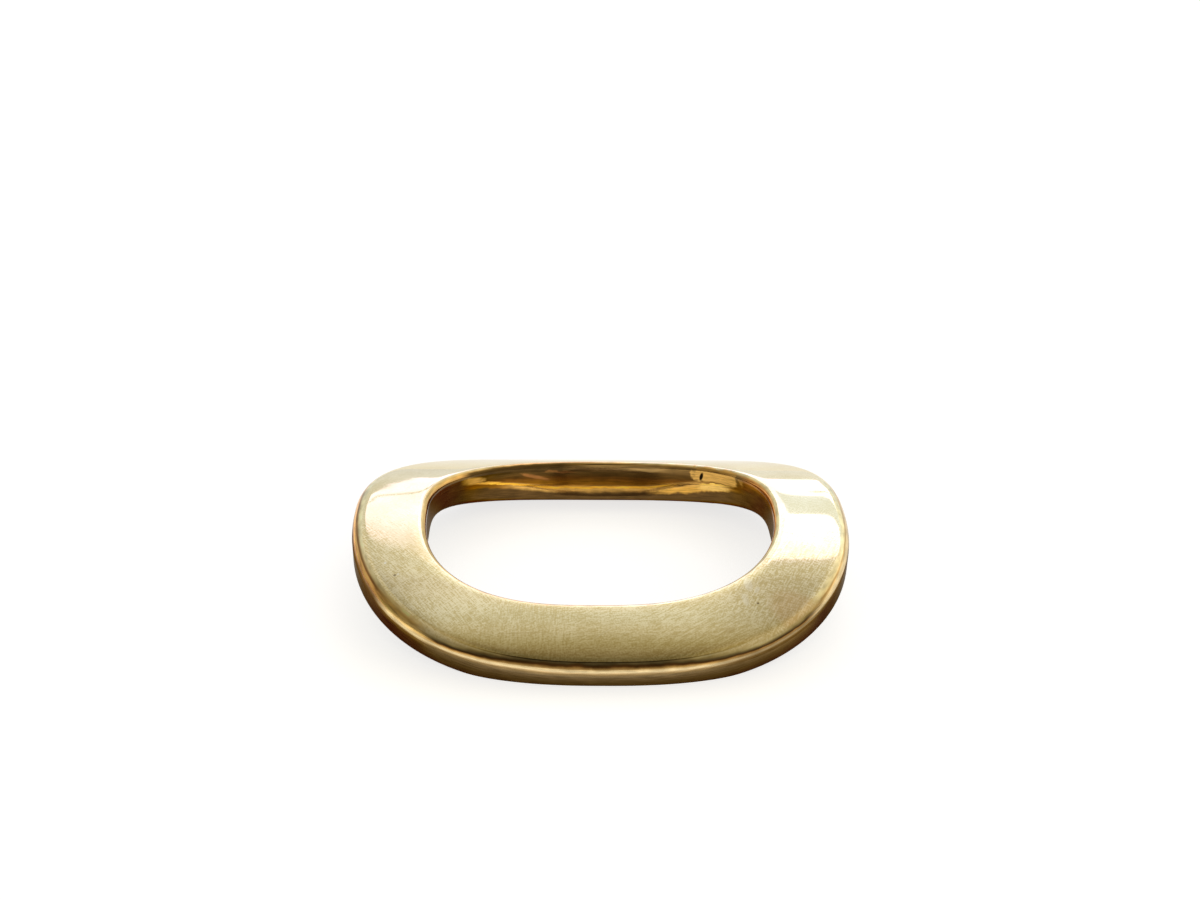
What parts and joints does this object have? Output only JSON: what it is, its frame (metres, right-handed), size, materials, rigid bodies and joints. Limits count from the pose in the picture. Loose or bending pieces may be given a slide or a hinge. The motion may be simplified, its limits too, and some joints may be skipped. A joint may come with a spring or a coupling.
{
  "type": "circle pull",
  "caption": "Solid cast ring pull: a thick band bent to a low arch that stands on its front and back ends, with both sides raised for the fingers.",
  "frame": {"origin": "under the middle of the ring, on the flat surface that the two feet stand on", "axes": "+Z away from the drawer or door, +Y from the front foot to the back foot, +X across the raised sides"},
  "size_m": [0.1, 0.0884, 0.0165],
  "materials": {
    "cast_brass": "hand polished upper face, darker walls and underside"
  },
  "bodies": {
    "root": {"ring_pull": "cast_brass"}
  },
  "joints": []
}
